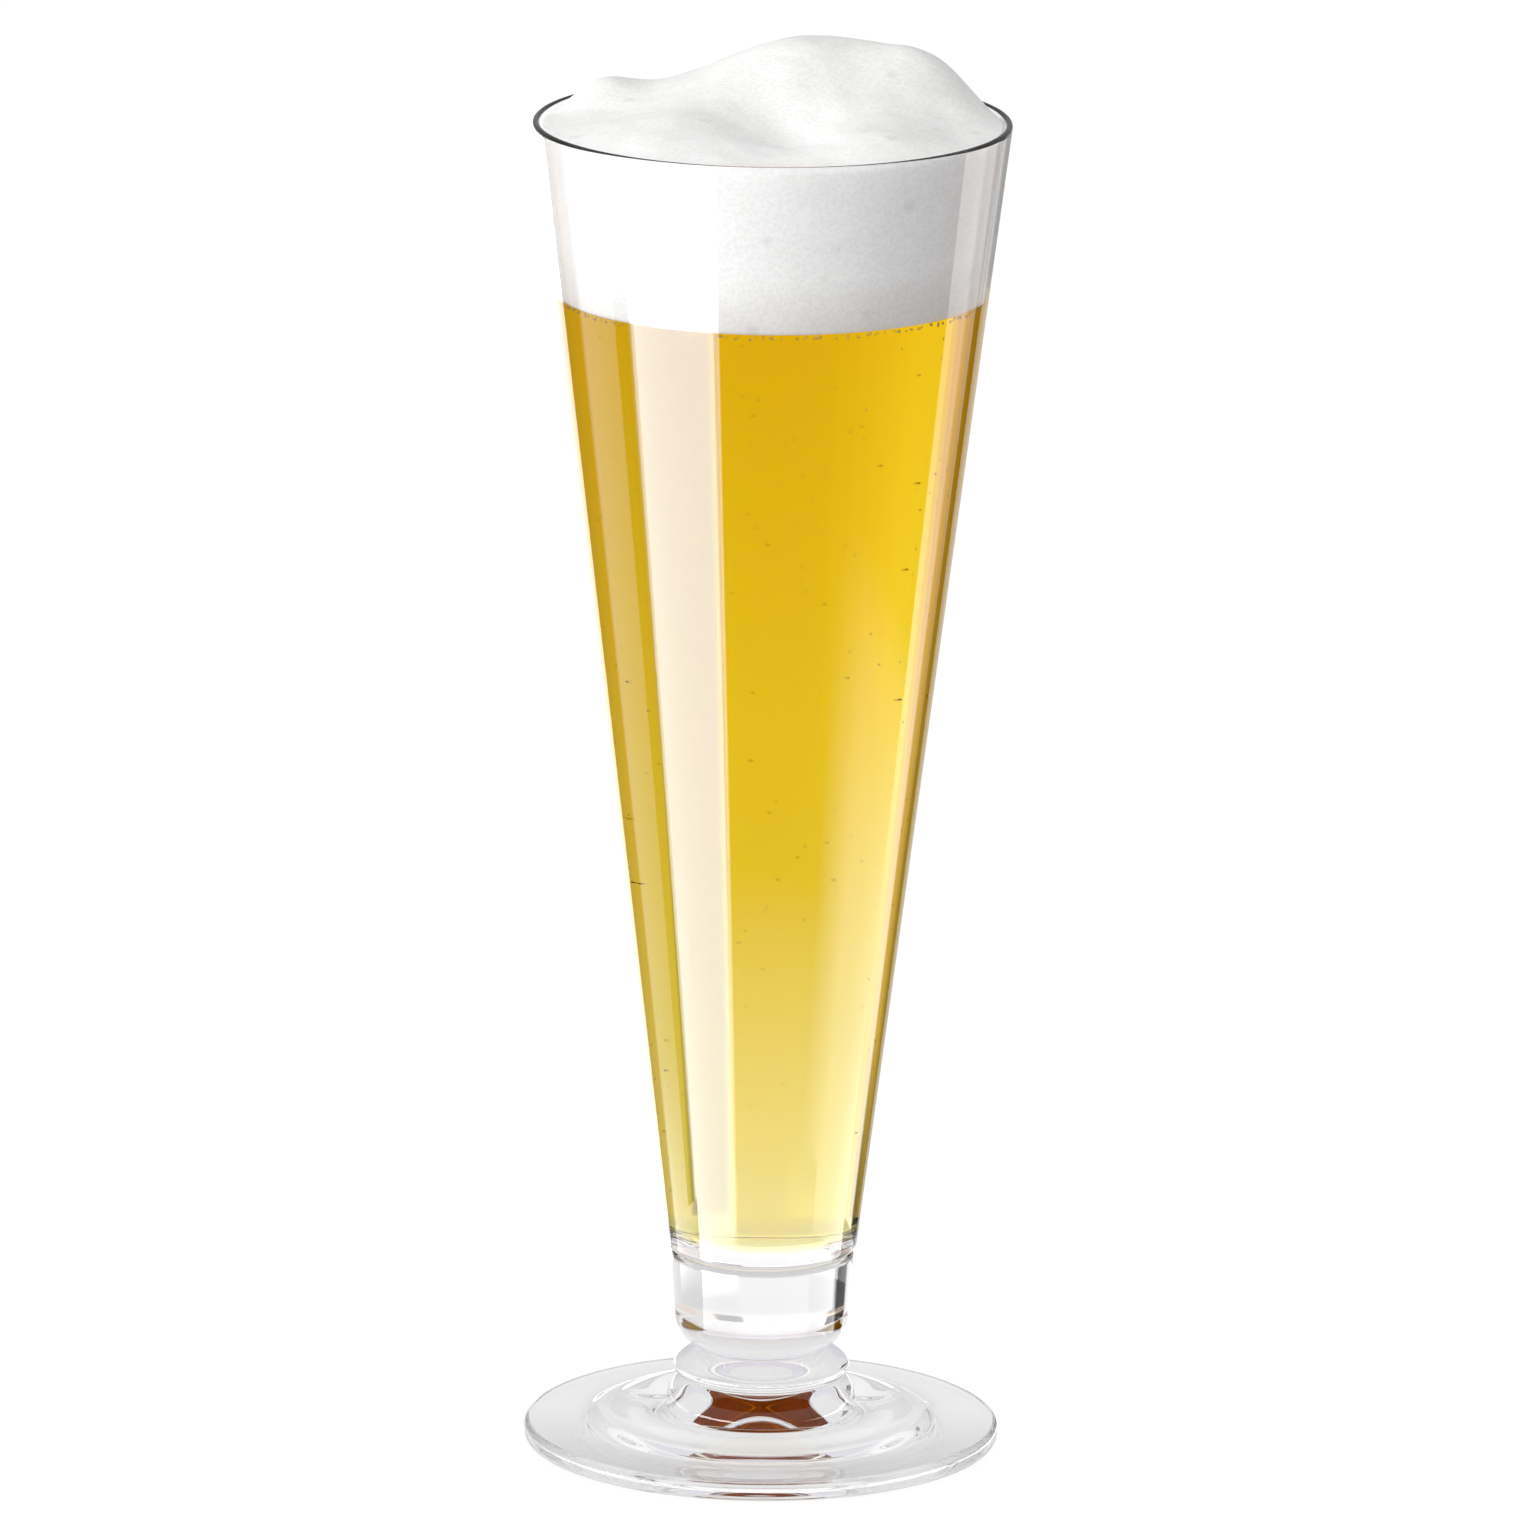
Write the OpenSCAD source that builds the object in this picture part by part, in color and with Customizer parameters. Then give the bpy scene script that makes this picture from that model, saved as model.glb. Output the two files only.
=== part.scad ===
// Footed pilsner glass, freshly poured. A thin conical bowl is fused to a solid glass block,
// which stands on a flattened bead and a pressed round foot. The bowl holds beer under a foam head.
// Millimetres, +Z up, origin on the axis at the table.

/* [Bowl] */
// Height of the rim above the table
glass_h = 216.4; // [190:0.2:240]
// Outer diameter at the rim
rim_d = 76; // [66:0.5:84]
// Wall thickness at the fire-polished rim
rim_wall = 1.1; // [0.8:0.1:1.8]
// Outer diameter at the lower end of the bowl
bowl_base_d = 30.4; // [28:0.2:36]
// Wall thickness at the lower end of the bowl
bowl_base_wall = 3; // [2:0.1:3.6]
// Thickness of the bowl's floor on the axis
floor_t = 1.6; // [1:0.1:4]
// Radius of the round corner at the bottom inside
bottom_r = 4; // [2:0.5:12]
// Rounding of the bowl's lower edge
bowl_edge_r = 1.4; // [0.4:0.1:2.4]

/* [Base block] */
// Height of the solid block under the bowl
block_h = 15.9; // [12:0.1:24]
// Diameter at the top of the block
block_top_d = 29.4; // [27:0.2:30.4]
// Rounding of the block's upper edge
block_edge_r = 0.9; // [0.4:0.1:2]
// Diameter where the block's lower edge starts to round
block_low_d = 28; // [25:0.2:29]
// Height of the rounded lower edge
block_edge_h = 5.5; // [3:0.1:8]

/* [Knop] */
// Height of the bead-shaped knop
knop_h = 5; // [3:0.2:12]
// Diameter at the waist, where the knop meets the block
waist_d = 20.8; // [18:0.2:24.2]
// Widest diameter of the knop
knop_d = 28.4; // [26:0.2:32]
// Height of that widest place above the foot
knop_belly_h = 1.6; // [0.6:0.1:2.6]

/* [Foot] */
// Outer diameter of the foot
foot_d = 76.4; // [68:0.2:90]
// Thickness of the foot at its edge
foot_edge_t = 3.1; // [2.6:0.1:5]
// Rounding of the foot's edge
foot_edge_r = 1.1; // [0.5:0.1:1.3]
// Height of the boss in the middle of the foot
boss_h = 10.6; // [9:0.1:14]
// Diameter at the top of the boss, where the knop sits
boss_top_d = 25.2; // [21:0.2:26]
// Diameter at the lower end of the boss, in the trough round it
boss_low_d = 30.8; // [28:0.2:36]
// Diameter of the broad swell round the trough
swell_d = 41.2; // [38:0.2:48]
// Height of the swell over the foot's edge
swell_h = 3; // [1:0.1:5]
// Width of the swell's inner slope
swell_in_w = 7; // [4:0.5:12]
// Width of the swell's outer slope
swell_out_w = 5.5; // [3:0.5:7]
// Diameter of the low pressed ring outside the swell
foot_ring_d = 52.6; // [50:0.2:60]
// Height of the pressed ring
foot_ring_h = 0.5; // [0:0.05:1]
// Width of the pressed ring
foot_ring_w = 1.6; // [0.6:0.1:3]
// Inner diameter of the flat ring that the glass rests on
rest_ring_d = 62; // [50:0.5:70]
// Depth of the hollow underside on the axis
hollow_h = 7; // [2:0.1:8]

/* [Filling] */
// Depth of the foam from the rim down to the beer
foam_depth = 27.5; // [5:0.5:60]
// Height that the lumps of the foam crown are measured by
foam_crown_h = 13; // [4:0.5:20]
// Drop of the foam below the rim where it meets the wall
foam_edge_drop = 0.8; // [0.4:0.1:4]
// Clearance between the filling and the glass
fill_gap = 0.1; // [0.02:0.02:0.3]

/* [Hidden] */
// Steepness with which the hollow underside runs out to the resting ring
hollow_power = 2.5;
// Lumps of the foam crown as shares: place across, place back, height and spread
foam_lump_shares = [
    [0.16, 0.43, 0.87, 0.40],
    [0.70, 0.35, 0.40, 0.19],
    [-0.80, 0.50, 0.37, 0.16],
    [-0.40, -0.35, 0.22, 0.28],
    [0.45, -0.50, 0.20, 0.22],
    [0.05, -0.30, -0.20, 0.20],
];
// Steepness with which the crown falls to the wall
foam_edge_power = 12;
// Sectors and rings of the foam crown
foam_sectors = 60;
foam_rings = 14;
// Straight steps in each round stretch of a profile
arc_steps = 10;
curve_steps = 36;
$fn = 96;

// Seams between the fused pieces, from the table up
knop_z = boss_h;
block_z = knop_z + knop_h;
bowl_z = block_z + block_h;

// Inner wall of the bowl: a straight cone that runs into the round bottom
rim_in_r = rim_d / 2 - rim_wall;
base_in_r = bowl_base_d / 2 - bowl_base_wall;
wall_slope = (rim_in_r - base_in_r) / (glass_h - bowl_z);
wall_lean = atan(wall_slope);
floor_z = bowl_z + floor_t;
bottom_c = [wall_r(floor_z + bottom_r) - bottom_r / cos(wall_lean), floor_z + bottom_r];

// The filling follows the same wall
beer_top_z = glass_h - foam_depth;
foam_edge_z = glass_h - foam_edge_drop;
foam_r = fill_r(foam_edge_z);

function wall_r(z) = base_in_r + wall_slope * (z - bowl_z);
function fill_r(z) = wall_r(z) - fill_gap / cos(wall_lean);

// Points on an arc about c, from angle a0 to angle a1
function arc(c, r, a0, a1) = [
    for (i = [0:arc_steps]) let (a = a0 + (a1 - a0) * i / arc_steps) c + r * [cos(a), sin(a)]
];

function reversed(points) = [for (i = [len(points) - 1:-1:0]) points[i]];

function total(values) = values * [for (v = values) 1];

// The inside of the bowl from the axis up to a height, drawn in by a clearance
function cavity(gap, top_z) = concat(
    [[0, floor_z + gap]],
    arc(bottom_c, bottom_r - gap, -90, -wall_lean),
    [[wall_r(top_z) - gap / cos(wall_lean), top_z]]
);

// Points on a quarter of an ellipse from a point level with c to a point above or below it
function quarter(c, w, h) = [
    for (i = [0:arc_steps]) let (a = 90 * i / arc_steps) c + [w * cos(a), h * sin(a)]
];

// Top of the foot: level at the edge, with a broad swell and a low pressed ring
foot_flat_r = foot_d / 2 - foot_edge_r;
top_w = foot_flat_r - boss_low_d / 2;
function bump(r, d, w) = exp(-pow((r - d / 2) / w, 2));
function swell(r) = bump(r, swell_d, r < swell_d / 2 ? swell_in_w : swell_out_w);
function foot_top(r) = foot_edge_t + swell_h * swell(r) + foot_ring_h * bump(r, foot_ring_d, foot_ring_w);

// Underside of the foot: a bell-shaped hollow inside the resting ring
function hollow_z(r) = hollow_h * pow(1 - pow(r / (rest_ring_d / 2), 2), hollow_power);

// Height of the foam crown over its edge at a place across the bowl
function foam_lump(p, lump) = lump[2] * exp(-pow(norm(p - [lump[0], lump[1]]) / lump[3], 2) / 2);
function foam_crown(share) = foam_crown_h * (1 - pow(norm(share), foam_edge_power))
    * total([for (lump = foam_lump_shares) foam_lump(share, lump)]);

// Thin conical wall with a fire-polished rim and a round bottom
module bowl() {
    rim_c = [rim_d / 2 - rim_wall / 2, glass_h - rim_wall / 2];
    color([0.93, 0.95, 0.96, 0.4])
        rotate_extrude()
            polygon(concat(
                [[0, bowl_z]],
                arc([bowl_base_d / 2 - bowl_edge_r, bowl_z + bowl_edge_r], bowl_edge_r, -90, 0),
                arc(rim_c, rim_wall / 2, 0, 180),
                reversed(cavity(0, rim_c[1]))
            ));
}

// Solid glass between the bowl and the knop, round at its lower edge
module base_block() {
    low_w = block_low_d / 2 - waist_d / 2;
    low_r = (pow(low_w, 2) + pow(block_edge_h, 2)) / (2 * low_w);
    low_c = [block_low_d / 2 - low_r, block_z + block_edge_h];
    top_c = [block_top_d / 2 - block_edge_r, bowl_z - block_edge_r];
    color([0.93, 0.95, 0.96, 0.5])
        rotate_extrude()
            polygon(concat(
                [[0, block_z]],
                arc(low_c, low_r, -atan2(block_edge_h, low_r - low_w), 0),
                arc(top_c, block_edge_r, 0, 90),
                [[0, bowl_z]]
            ));
}

// Flattened bead that swells out between the waist and the foot
module stem_knop() {
    belly_z = knop_z + knop_belly_h;
    belly_w = (knop_d - boss_top_d) / 2;
    color([0.93, 0.95, 0.96, 0.5])
        rotate_extrude()
            polygon(concat(
                [[0, knop_z]],
                reversed(quarter([boss_top_d / 2, belly_z], belly_w, -knop_belly_h)),
                [for (i = [1:arc_steps]) let (t = i / arc_steps)
                    [(waist_d + (knop_d - waist_d) * cos(90 * t)) / 2, belly_z + (block_z - belly_z) * t]],
                [[0, block_z]]
            ));
}

// Pressed disc with a boss, a trough, a swell, a flat resting ring and a hollow underside
module foot() {
    low_z = foot_top(boss_low_d / 2);
    top_rs = [for (i = [1:curve_steps - 1]) foot_flat_r - top_w * i / curve_steps];
    boss_w = (boss_low_d - boss_top_d) / 2;
    color([0.93, 0.95, 0.96, 0.5])
        rotate_extrude()
            polygon(concat(
                [for (i = [0:curve_steps]) let (r = rest_ring_d / 2 * i / curve_steps) [r, hollow_z(r)]],
                arc([foot_flat_r, foot_edge_r], foot_edge_r, -90, 0),
                arc([foot_flat_r, foot_edge_t - foot_edge_r], foot_edge_r, 0, 90),
                [for (r = top_rs) [r, foot_top(r)]],
                quarter([boss_top_d / 2, low_z], boss_w, boss_h - low_z),
                [[0, boss_h]]
            ));
}

// Beer from the round bottom up to the foam
module beer() {
    color([0.92, 0.68, 0.06, 0.85])
        rotate_extrude()
            polygon(concat(cavity(fill_gap, beer_top_z), [[0, beer_top_z]]));
}

// Foam from the beer up to the rim, heaped into a crown of soft lumps
module foam_head() {
    angles = [for (i = [0:foam_sectors - 1]) 360 * i / foam_sectors];
    shares = [for (k = [foam_rings:-1:1]) k / foam_rings];
    under = [for (a = angles) fill_r(beer_top_z) * [cos(a), sin(a), 0] + [0, 0, beer_top_z]];
    over = [for (s = shares) for (a = angles) let (p = s * [cos(a), sin(a)])
        [foam_r * p[0], foam_r * p[1], foam_edge_z + foam_crown(p)]];
    peak = [[0, 0, foam_edge_z + foam_crown([0, 0])]];
    last = foam_sectors * foam_rings;
    function at(ring, i) = ring * foam_sectors + i % foam_sectors;
    sides = [for (ring = [0:foam_rings - 1]) for (i = [0:foam_sectors - 1]) each [
        [at(ring, i), at(ring + 1, i), at(ring + 1, i + 1)],
        [at(ring, i), at(ring + 1, i + 1), at(ring, i + 1)],
    ]];
    cap = [for (i = [0:foam_sectors - 1]) [at(foam_rings, i), last + foam_sectors, at(foam_rings, i + 1)]];
    color("whitesmoke")
        polyhedron(concat(under, over, peak), concat([[for (i = [0:foam_sectors - 1]) i]], sides, cap));
}

bowl();
base_block();
stem_knop();
foot();
beer();
foam_head();
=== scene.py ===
"""Pilsner glass with beer and foam: the finished looks around the CAD frame, in metres."""

import math

import bpy
from mathutils import Matrix, Vector, noise


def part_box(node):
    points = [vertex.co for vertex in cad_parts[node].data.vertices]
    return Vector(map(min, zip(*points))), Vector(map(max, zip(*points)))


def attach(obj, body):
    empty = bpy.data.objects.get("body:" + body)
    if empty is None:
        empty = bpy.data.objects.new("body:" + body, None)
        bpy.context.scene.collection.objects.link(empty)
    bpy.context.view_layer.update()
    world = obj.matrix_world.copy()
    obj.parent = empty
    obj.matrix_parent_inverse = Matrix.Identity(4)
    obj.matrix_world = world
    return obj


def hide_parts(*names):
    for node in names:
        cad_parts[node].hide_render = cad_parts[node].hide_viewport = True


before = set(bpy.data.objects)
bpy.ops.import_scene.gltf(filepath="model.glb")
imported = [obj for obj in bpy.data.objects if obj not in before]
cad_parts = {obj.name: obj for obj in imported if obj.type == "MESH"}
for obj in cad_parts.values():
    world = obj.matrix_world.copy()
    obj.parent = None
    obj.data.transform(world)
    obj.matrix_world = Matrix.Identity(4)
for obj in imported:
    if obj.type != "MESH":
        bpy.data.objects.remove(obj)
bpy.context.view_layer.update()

MM = 0.001

# Places and sizes that the CAD nodes give
BOWL_LOW, BOWL_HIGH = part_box("bowl")
BLOCK_LOW, BLOCK_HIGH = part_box("base_block")
KNOP_LOW, KNOP_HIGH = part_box("stem_knop")
FOOT_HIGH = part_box("foot")[1]
BEER_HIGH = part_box("beer")[1]
RIM_Z, RIM_R = BOWL_HIGH.z, BOWL_HIGH.x
BOWL_Z, BLOCK_Z, KNOP_Z = BOWL_LOW.z, BLOCK_LOW.z, KNOP_LOW.z
BEER_TOP = BEER_HIGH.z

# Bowl
RIM_WALL = 1.1 * MM
BOWL_BASE_R = 15.2 * MM
BOWL_BASE_WALL = 3.0 * MM
FLOOR_T = 1.6 * MM
BOTTOM_R = 4.0 * MM
BOWL_EDGE_R = 1.4 * MM

# Block and knop
BLOCK_TOP_R = BLOCK_HIGH.x
BLOCK_EDGE_R = 0.9 * MM
BLOCK_LOW_R = 14.0 * MM
BLOCK_EDGE_H = 5.5 * MM
WAIST_R = 10.4 * MM
KNOP_R = KNOP_HIGH.x
KNOP_BELLY_H = 1.6 * MM

# Foot
FOOT_R = FOOT_HIGH.x
FOOT_EDGE_T = 3.1 * MM
FOOT_EDGE_R = 1.1 * MM
BOSS_TOP_R = 12.6 * MM
BOSS_LOW_R = 15.4 * MM
SWELL_R = 20.6 * MM
SWELL_H = 3.0 * MM
SWELL_IN_W = 7.0 * MM
SWELL_OUT_W = 5.5 * MM
FOOT_RING_R = 26.3 * MM
FOOT_RING_H = 0.5 * MM
FOOT_RING_W = 1.6 * MM
REST_RING_R = 31.0 * MM
HOLLOW_H = 7.0 * MM
HOLLOW_POWER = 2.5

# Filling
FILL_GAP = 0.1 * MM
FOAM_EDGE_DROP = 0.8 * MM
FOAM_CROWN_H = 13.0 * MM
FOAM_EDGE_POWER = 12
FOAM_LUMP_SHARES = (
    (0.16, 0.43, 0.87, 0.40),
    (0.70, 0.35, 0.40, 0.19),
    (-0.80, 0.50, 0.37, 0.16),
    (-0.40, -0.35, 0.22, 0.28),
    (0.45, -0.50, 0.20, 0.22),
    (0.05, -0.30, -0.20, 0.20),
)

# Mesh density
SEGMENTS = 256
ARC_STEPS = 14
CURVE_STEPS = 80
LINE_STEP = 5.0 * MM
LINE_END = 0.25 * MM
LINE_END_SHARE = 0.4
MERGE_DISTANCE = 2e-6

# Bubbles: faces of one ball, and of the surface that they are scattered on
BALL_SIDES, BALL_RINGS = 8, 5
BUBBLE_SIDES, BUBBLE_ROWS = 96, 12

# Optics
GLASS_IOR = 1.5
BEER_IOR = 1.34


def mesh_object(name, vertices, edges=(), faces=()):
    """A linked object with a new mesh, at the origin."""
    mesh = bpy.data.meshes.new(name)
    mesh.from_pydata(vertices, edges, faces)
    obj = bpy.data.objects.new(name, mesh)
    bpy.context.scene.collection.objects.link(obj)
    return obj


# Profiles: lists of (radius, height) from the axis below, round the outside, to the axis above

def arc(centre_r, centre_z, radius, start, end, steps=ARC_STEPS):
    angles = [math.radians(start + (end - start) * i / steps) for i in range(steps + 1)]
    return [(centre_r + radius * math.cos(a), centre_z + radius * math.sin(a)) for a in angles]


def line(start, end):
    """Points between two ends, close to each end so that smooth shading stays true along the line."""
    start, end = Vector(start), Vector(end)
    length = (end - start).length
    count = max(1, round(length / LINE_STEP))
    near = min(LINE_END / length, LINE_END_SHARE / count)
    shares = [near] + [i / count for i in range(1, count)] + [1 - near]
    return [tuple(start.lerp(end, share)) for share in shares]


RIM_IN_R = RIM_R - RIM_WALL
BASE_IN_R = BOWL_BASE_R - BOWL_BASE_WALL
WALL_SLOPE = (RIM_IN_R - BASE_IN_R) / (RIM_Z - BOWL_Z)
WALL_LEAN = math.degrees(math.atan(WALL_SLOPE))
WALL_COS = math.cos(math.radians(WALL_LEAN))
FLOOR_Z = BOWL_Z + FLOOR_T


def wall_r(z):
    """Inner radius of the bowl's straight wall at a height."""
    return BASE_IN_R + WALL_SLOPE * (z - BOWL_Z)


def cavity(gap, top):
    """Inside of the bowl from the axis up to a height, drawn in by a gap."""
    centre_z = FLOOR_Z + BOTTOM_R
    centre_r = wall_r(centre_z) - BOTTOM_R / WALL_COS
    bottom = arc(centre_r, centre_z, BOTTOM_R - gap, -90, -WALL_LEAN)
    end = (wall_r(top) - gap / WALL_COS, top)
    return [(0, FLOOR_Z + gap)] + bottom + line(bottom[-1], end) + [end]


def bowl_profile():
    rim = arc(RIM_R - RIM_WALL / 2, RIM_Z - RIM_WALL / 2, RIM_WALL / 2, 0, 180)
    low = arc(BOWL_BASE_R - BOWL_EDGE_R, BOWL_Z + BOWL_EDGE_R, BOWL_EDGE_R, -90, 0)
    inner = cavity(0, BEER_TOP) + line((wall_r(BEER_TOP), BEER_TOP), rim[-1])
    return [(0, BOWL_Z)] + low + line(low[-1], rim[0]) + rim + inner[::-1]


def block_profile():
    width = BLOCK_LOW_R - WAIST_R
    round_r = (width ** 2 + BLOCK_EDGE_H ** 2) / (2 * width)
    turn = math.degrees(math.atan2(BLOCK_EDGE_H, round_r - width))
    low = arc(BLOCK_LOW_R - round_r, BLOCK_Z + BLOCK_EDGE_H, round_r, -turn, 0)
    top = arc(BLOCK_TOP_R - BLOCK_EDGE_R, BOWL_Z - BLOCK_EDGE_R, BLOCK_EDGE_R, 0, 90)
    seat = (BOWL_BASE_R - BOWL_EDGE_R, BOWL_Z)
    return [(0, BLOCK_Z)] + low + line(low[-1], top[0]) + top + [seat, (0, BOWL_Z)]


def quarter(start_r, level, width, height, steps=ARC_STEPS):
    """Quarter of an ellipse from its widest place to the place above or below its centre."""
    turns = [math.pi / 2 * i / steps for i in range(steps + 1)]
    return [(start_r + width * math.cos(a), level + height * math.sin(a)) for a in turns]


def knop_profile():
    belly_z = KNOP_Z + KNOP_BELLY_H
    shares = [i / ARC_STEPS for i in range(1, ARC_STEPS + 1)]
    low = quarter(BOSS_TOP_R, belly_z, KNOP_R - BOSS_TOP_R, -KNOP_BELLY_H)
    high = [
        (WAIST_R + (KNOP_R - WAIST_R) * math.cos(math.pi / 2 * t), belly_z + (BLOCK_Z - belly_z) * t)
        for t in shares
    ]
    return [(0, KNOP_Z)] + low[::-1] + high + [(0, BLOCK_Z)]


def bump(r, middle, width):
    return math.exp(-((r - middle) / width) ** 2)


def foot_top(r):
    """Height of the foot's top, with its broad swell and its low pressed ring."""
    swell = bump(r, SWELL_R, SWELL_IN_W if r < SWELL_R else SWELL_OUT_W)
    return FOOT_EDGE_T + SWELL_H * swell + FOOT_RING_H * bump(r, FOOT_RING_R, FOOT_RING_W)


def foot_profile():
    under_rs = [REST_RING_R * i / CURVE_STEPS for i in range(CURVE_STEPS + 1)]
    under = [(r, HOLLOW_H * (1 - (r / REST_RING_R) ** 2) ** HOLLOW_POWER) for r in under_rs]
    flat_r = FOOT_R - FOOT_EDGE_R
    edge = arc(flat_r, FOOT_EDGE_R, FOOT_EDGE_R, -90, 0)
    edge += arc(flat_r, FOOT_EDGE_T - FOOT_EDGE_R, FOOT_EDGE_R, 0, 90)
    top_rs = [flat_r + (BOSS_LOW_R - flat_r) * i / CURVE_STEPS for i in range(1, CURVE_STEPS)]
    low_z = foot_top(BOSS_LOW_R)
    boss = quarter(BOSS_TOP_R, low_z, BOSS_LOW_R - BOSS_TOP_R, KNOP_Z - low_z)
    return under + edge + [(r, foot_top(r)) for r in top_rs] + boss + [(0, KNOP_Z)]


# Geometry Nodes

def node_tree(name, inputs):
    """An empty Geometry Nodes tree with a geometry input and output and the named inputs."""
    tree = bpy.data.node_groups.new(name, "GeometryNodeTree")
    tree.interface.new_socket("Geometry", in_out="INPUT", socket_type="NodeSocketGeometry")
    for label, kind in inputs:
        tree.interface.new_socket(label, in_out="INPUT", socket_type=kind)
    tree.interface.new_socket("Geometry", in_out="OUTPUT", socket_type="NodeSocketGeometry")
    return tree


def add_node(tree, kind, values=(), **settings):
    """A node with its settings, and its input sockets set or linked by name or number."""
    node = tree.nodes.new(kind)
    for key, value in settings.items():
        setattr(node, key, value)
    for key, value in dict(values).items():
        if isinstance(value, bpy.types.NodeSocket):
            tree.links.new(value, node.inputs[key])
        else:
            node.inputs[key].default_value = value
    return node


def lathe_tree():
    """Spins a profile, a row of points in the XZ plane, into a closed surface round Z."""
    tree = node_tree("Lathe", [("Segments", "NodeSocketInt"), ("Material", "NodeSocketMaterial")])
    given = tree.nodes.new("NodeGroupInput").outputs
    size = add_node(tree, "GeometryNodeAttributeDomainSize", {"Geometry": given["Geometry"]})
    points = size.outputs["Point Count"]
    columns = add_node(tree, "ShaderNodeMath", {0: given["Segments"], 1: 1.0}, operation="ADD")
    grid = add_node(tree, "GeometryNodeMeshGrid", {
        "Size X": 1.0, "Size Y": 1.0, "Vertices X": columns.outputs[0], "Vertices Y": points})
    place = add_node(tree, "GeometryNodeInputPosition")
    across = add_node(tree, "ShaderNodeSeparateXYZ", {0: place.outputs[0]})
    turn = add_node(tree, "ShaderNodeMapRange", {
        "Value": across.outputs["X"], "From Min": -0.5, "From Max": 0.5, "To Min": 0.0, "To Max": math.tau})
    last = add_node(tree, "ShaderNodeMath", {0: points, 1: 1.0}, operation="SUBTRACT")
    row = add_node(tree, "ShaderNodeMapRange", {
        "Value": across.outputs["Y"], "From Min": -0.5, "From Max": 0.5, "To Min": 0.0,
        "To Max": last.outputs[0]})
    index = add_node(tree, "ShaderNodeMath", {0: row.outputs[0]}, operation="ROUND")
    sample = add_node(tree, "GeometryNodeSampleIndex", {
        "Geometry": given["Geometry"], "Value": place.outputs[0], "Index": index.outputs[0]},
        data_type="FLOAT_VECTOR")
    spun = add_node(tree, "ShaderNodeVectorRotate", {
        "Vector": sample.outputs[0], "Angle": turn.outputs[0]}, rotation_type="Z_AXIS")
    lathed = add_node(tree, "GeometryNodeSetPosition", {
        "Geometry": grid.outputs["Mesh"], "Position": spun.outputs[0]})
    closed = add_node(tree, "GeometryNodeMergeByDistance", {
        "Geometry": lathed.outputs[0], "Distance": MERGE_DISTANCE})
    smooth = add_node(tree, "GeometryNodeSetShadeSmooth", {"Geometry": closed.outputs[0]})
    real = add_node(tree, "GeometryNodeRealizeInstances", {"Geometry": smooth.outputs[0]})
    painted = add_node(tree, "GeometryNodeSetMaterial", {
        "Geometry": real.outputs[0], "Material": given["Material"]})
    add_node(tree, "NodeGroupOutput", {"Geometry": painted.outputs[0]})
    return tree


def bubble_tree():
    """Scatters small round bubbles over a surface, each at its own depth under it and of its own size."""
    tree = node_tree("Bubbles", [
        ("Density", "NodeSocketFloat"), ("Seed", "NodeSocketInt"),
        ("Small Radius", "NodeSocketFloat"), ("Large Radius", "NodeSocketFloat"),
        ("Least Depth", "NodeSocketFloat"), ("Most Depth", "NodeSocketFloat"),
        ("Material", "NodeSocketMaterial")])
    given = tree.nodes.new("NodeGroupInput").outputs
    points = add_node(tree, "GeometryNodeDistributePointsOnFaces", {
        "Mesh": given["Geometry"], "Density": given["Density"], "Seed": given["Seed"]})
    depth = add_node(tree, "FunctionNodeRandomValue", {
        2: given["Least Depth"], 3: given["Most Depth"], "Seed": given["Seed"]}, data_type="FLOAT")
    inward = add_node(tree, "ShaderNodeMath", {0: depth.outputs[1], 1: -1.0}, operation="MULTIPLY")
    shift = add_node(tree, "ShaderNodeVectorMath", {
        0: points.outputs["Normal"], "Scale": inward.outputs[0]}, operation="SCALE")
    placed = add_node(tree, "GeometryNodeSetPosition", {
        "Geometry": points.outputs["Points"], "Offset": shift.outputs[0]})
    other_seed = add_node(tree, "ShaderNodeMath", {0: given["Seed"], 1: 1.0}, operation="ADD")
    radius = add_node(tree, "FunctionNodeRandomValue", {
        2: given["Small Radius"], 3: given["Large Radius"], "Seed": other_seed.outputs[0]},
        data_type="FLOAT")
    ball = add_node(tree, "GeometryNodeMeshUVSphere", {
        "Segments": BALL_SIDES, "Rings": BALL_RINGS, "Radius": 1.0})
    smooth = add_node(tree, "GeometryNodeSetShadeSmooth", {"Geometry": ball.outputs["Mesh"]})
    spread = add_node(tree, "GeometryNodeInstanceOnPoints", {
        "Points": placed.outputs[0], "Instance": smooth.outputs[0], "Scale": radius.outputs[1]})
    real = add_node(tree, "GeometryNodeRealizeInstances", {"Geometry": spread.outputs[0]})
    painted = add_node(tree, "GeometryNodeSetMaterial", {
        "Geometry": real.outputs[0], "Material": given["Material"]})
    add_node(tree, "NodeGroupOutput", {"Geometry": painted.outputs[0]})
    return tree


def grow(obj, tree, values):
    """Runs a tree on an object and keeps the result as its plain mesh."""
    modifier = obj.modifiers.new(tree.name, "NODES")
    modifier.node_group = tree
    sockets = {s.name: s.identifier for s in tree.interface.items_tree if s.in_out == "INPUT"}
    for label, value in values.items():
        modifier[sockets[label]] = value
    evaluated = obj.evaluated_get(bpy.context.evaluated_depsgraph_get())
    mesh = bpy.data.meshes.new_from_object(evaluated)
    obj.modifiers.remove(modifier)
    obj.data = mesh
    return obj


LATHE = lathe_tree()
BUBBLES = bubble_tree()


def lathe(name, profile, material):
    """A piece spun from its profile."""
    points = [(r, 0, z) for r, z in profile]
    obj = mesh_object(name, points, [(i, i + 1) for i in range(len(points) - 1)])
    return grow(obj, LATHE, {"Segments": SEGMENTS, "Material": material})


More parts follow.
